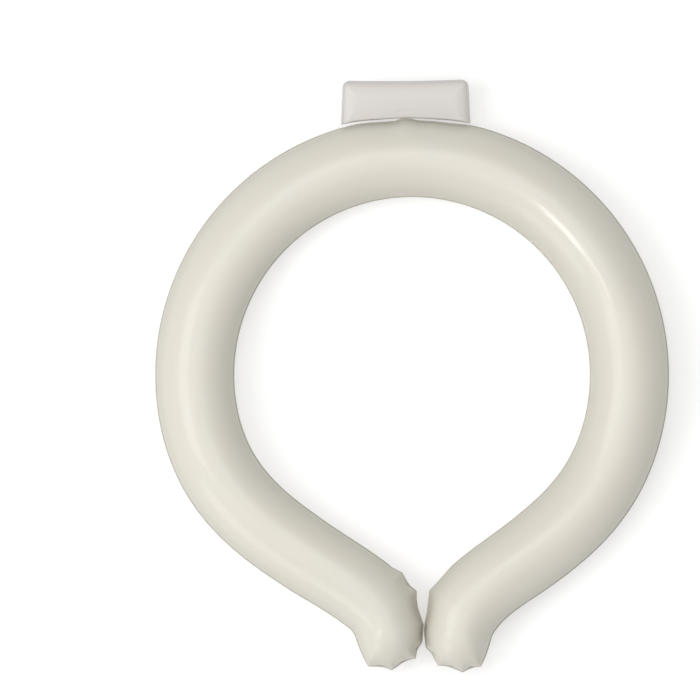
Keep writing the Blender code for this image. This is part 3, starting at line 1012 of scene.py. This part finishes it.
# The photograph's view, straight down: what lies at the picture's middle, the picture's turn, and
# how wide a stretch it takes in at the weld's height
VIEW_MIDDLE = (-0.0191, 0.00908)
VIEW_TURN_DEG = -2.4
VIEW_WIDTH = 0.2193
CAMERA_RISE = 3.0
CAMERA_CLIP = (0.05, 20.0)
SENSOR_WIDTH = 36.0

# Lights: where they stand over the ring in the picture's axes, their sizes, their spread and the
# place that they look at. The narrow strip shows in the gloss alone
Lamp = namedtuple("Lamp", "name place size spread_deg aim", defaults=(180, (0.0, 0.0, 0.0)))
KEY_LAMP = Lamp("key_light", (-0.86, 0.0, 1.23), (0.7, 0.7))
SIDE_LAMP = Lamp("side_light", (-0.92, -0.92, 0.75), (0.7, 0.7))
BACK_LAMP = Lamp("back_light", (0.0, 0.46, 1.43), (0.7, 0.7))
TOP_LAMP = Lamp("top_light", (0.0, 0.0, 1.7), (1.6, 1.6))
STRIP_LAMP = Lamp("strip_light", (-0.0646, -0.0613, 0.400), (0.033, 0.12), 28,
                  (0.048, 0.0453, 0.0231))


def in_picture_axes(place):
    """A place over the ring, given along the picture's right and up, in the object's frame."""
    turned = Matrix.Rotation(radians(VIEW_TURN_DEG), 3, "Z") @ Vector(place)
    return turned + Vector((*RING_CENTRE, FLOOR_Z))


def add_lamp(lamp, watts):
    """Area light that looks at its aim."""
    data = bpy.data.lights.new(lamp.name, "AREA")
    data.shape = "RECTANGLE"
    data.size, data.size_y = lamp.size
    data.spread = radians(lamp.spread_deg)
    data.energy = watts
    light = new_object(lamp.name, data)
    light.location = in_picture_axes(lamp.place)
    aim = in_picture_axes(lamp.aim)
    light.rotation_euler = (aim - light.location).to_track_quat("-Z", "Y").to_euler()
    light.visible_camera = False
    light.visible_diffuse = lamp is not STRIP_LAMP


def add_floor(look):
    """Square sheet that the ring lies on."""
    half = look.floor_size / 2
    corners = [(x * half, y * half, FLOOR_Z) for x, y in ((-1, -1), (1, -1), (1, 1), (-1, 1))]
    mesh = bpy.data.meshes.new("studio_floor")
    mesh.from_pydata(corners, [], [(0, 1, 2, 3)])
    # The sheet's own colour tints its glow, so its lightness is divided out
    mesh.materials.append(floor_material(look.floor_colour, look.floor_glow / look.floor_colour[0]))
    new_object("studio_floor", mesh)


def set_room(strength):
    """Even light from a white room."""
    world = bpy.data.worlds.new("white_room")
    world.use_nodes = True
    background = world.node_tree.nodes["Background"]
    background.inputs["Color"].default_value = (1.0, 1.0, 1.0, 1.0)
    background.inputs["Strength"].default_value = strength
    bpy.context.scene.world = world


def add_camera():
    """Camera with the photograph's view."""
    data = bpy.data.cameras.new("overhead_camera")
    data.sensor_width = SENSOR_WIDTH
    data.lens = SENSOR_WIDTH * CAMERA_RISE / VIEW_WIDTH
    data.clip_start, data.clip_end = CAMERA_CLIP
    camera = new_object("overhead_camera", data)
    camera.location = (*VIEW_MIDDLE, WELD_Z + CAMERA_RISE)
    camera.rotation_euler = (0.0, 0.0, radians(VIEW_TURN_DEG))
    bpy.context.scene.camera = camera


class NECKCOOLER_OT_stage(bpy.types.Operator):
    """Set the pale floor, the soft studio light and the camera straight above"""

    bl_idname = "neck_cooler.stage"
    bl_label = "Set Studio"

    def execute(self, context):
        look = context.scene.neck_cooler_stage
        add_floor(look)
        add_lamp(KEY_LAMP, look.key_power)
        add_lamp(SIDE_LAMP, look.side_power)
        add_lamp(BACK_LAMP, look.back_power)
        add_lamp(TOP_LAMP, look.top_power)
        add_lamp(STRIP_LAMP, look.strip_power)
        set_room(look.sky)
        add_camera()
        context.scene.view_settings.view_transform = "Standard"
        return {"FINISHED"}


class NECKCOOLER_PT_panel(bpy.types.Panel):
    """Lists the pieces and their settings in the 3D view's sidebar"""

    bl_idname = "NECKCOOLER_PT_panel"
    bl_label = "Neck Cooler"
    bl_space_type = "VIEW_3D"
    bl_region_type = "UI"
    bl_category = "Neck Cooler"

    def draw(self, context):
        scene = context.scene
        for operator, settings in ((NECKCOOLER_OT_films, scene.neck_cooler_film),
                                   (NECKCOOLER_OT_wax, scene.neck_cooler_wax),
                                   (NECKCOOLER_OT_tab, scene.neck_cooler_tab),
                                   (NECKCOOLER_OT_stage, scene.neck_cooler_stage)):
            box = self.layout.box()
            box.operator(operator.bl_idname)
            for name in settings.__annotations__:
                box.prop(settings, name)


SETTINGS = {"neck_cooler_film": FilmSettings, "neck_cooler_tab": TabSettings,
            "neck_cooler_wax": WaxSettings, "neck_cooler_stage": StageSettings}
CLASSES = (*SETTINGS.values(), NECKCOOLER_OT_films, NECKCOOLER_OT_wax, NECKCOOLER_OT_tab,
           NECKCOOLER_OT_stage, NECKCOOLER_PT_panel)


def register():
    for kind in CLASSES:
        bpy.utils.register_class(kind)
    for name, kind in SETTINGS.items():
        setattr(bpy.types.Scene, name, PointerProperty(type=kind))


def unregister():
    for name in SETTINGS:
        delattr(bpy.types.Scene, name)
    for kind in reversed(CLASSES):
        bpy.utils.unregister_class(kind)


def main():
    register()
    bpy.ops.neck_cooler.films()
    bpy.ops.neck_cooler.wax()
    bpy.ops.neck_cooler.tab()
    bpy.ops.neck_cooler.stage()


if __name__ == "__main__":
    main()
